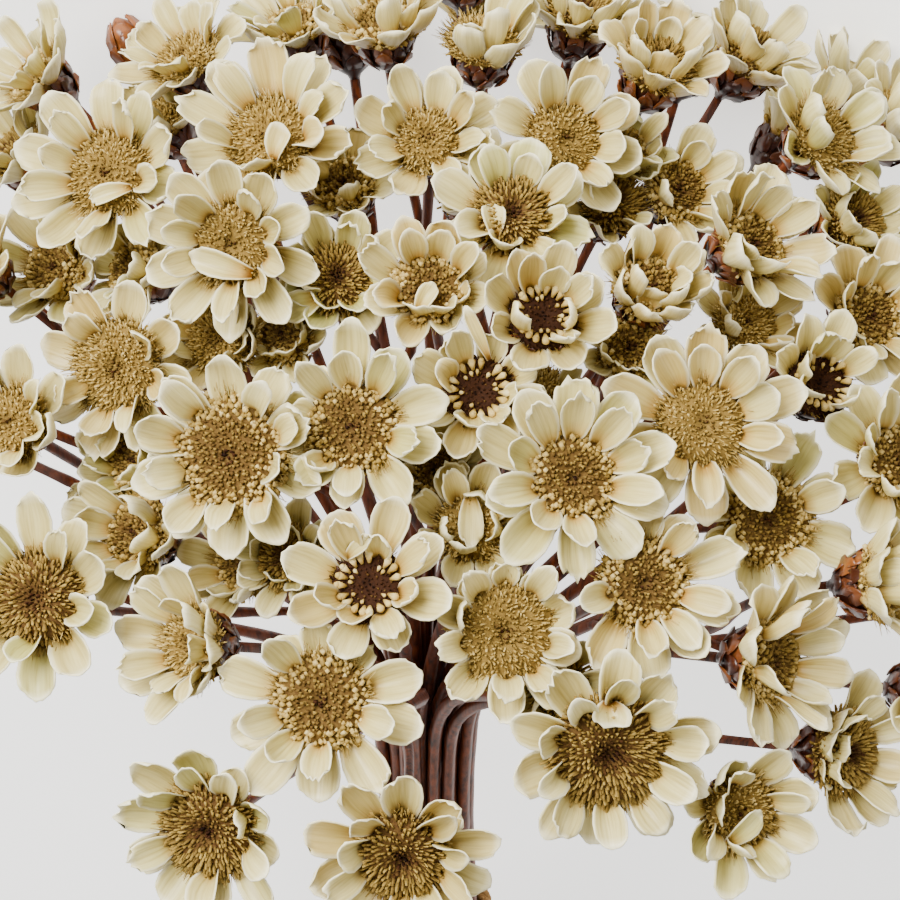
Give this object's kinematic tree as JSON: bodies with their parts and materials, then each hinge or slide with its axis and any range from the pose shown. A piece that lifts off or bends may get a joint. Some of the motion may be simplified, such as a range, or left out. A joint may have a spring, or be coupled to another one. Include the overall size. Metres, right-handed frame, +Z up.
{
  "type": "dried strawflower bunch",
  "caption": "Tied bunch of small dried everlasting daisies, lying on its side: a dome of papery heads on thin stalks above a bundle of bare stems.",
  "frame": {"origin": "on the surface the bunch lies on, under the middle of its bounding box", "axes": "+Z up from the surface; the stems run along Y with the cut ends towards +Y and the flower heads towards -Y"},
  "size_m": [0.1496, 0.249, 0.1269],
  "materials": {
    "dried_flower": "dry papery petals, pale cream, with tan discs and dark brown stalks in the same node",
    "twine": "matt natural fibre"
  },
  "bodies": {
    "root": {"spray_01": "dried_flower", "spray_02": "dried_flower", "spray_03": "dried_flower", "spray_04": "dried_flower", "spray_05": "dried_flower", "spray_06": "dried_flower", "spray_07": "dried_flower", "spray_08": "dried_flower", "spray_09": "dried_flower", "spray_10": "dried_flower", "spray_11": "dried_flower", "spray_12": "dried_flower", "spray_13": "dried_flower", "spray_14": "dried_flower", "spray_15": "dried_flower", "spray_16": "dried_flower", "spray_17": "dried_flower", "spray_18": "dried_flower", "spray_19": "dried_flower", "spray_20": "dried_flower", "spray_21": "dried_flower", "spray_22": "dried_flower", "spray_23": "dried_flower", "spray_24": "dried_flower", "spray_25": "dried_flower", "spray_26": "dried_flower", "spray_27": "dried_flower", "spray_28": "dried_flower", "spray_29": "dried_flower", "spray_30": "dried_flower", "spray_31": "dried_flower", "spray_32": "dried_flower", "spray_33": "dried_flower", "spray_34": "dried_flower", "tie": "twine"}
  },
  "joints": []
}
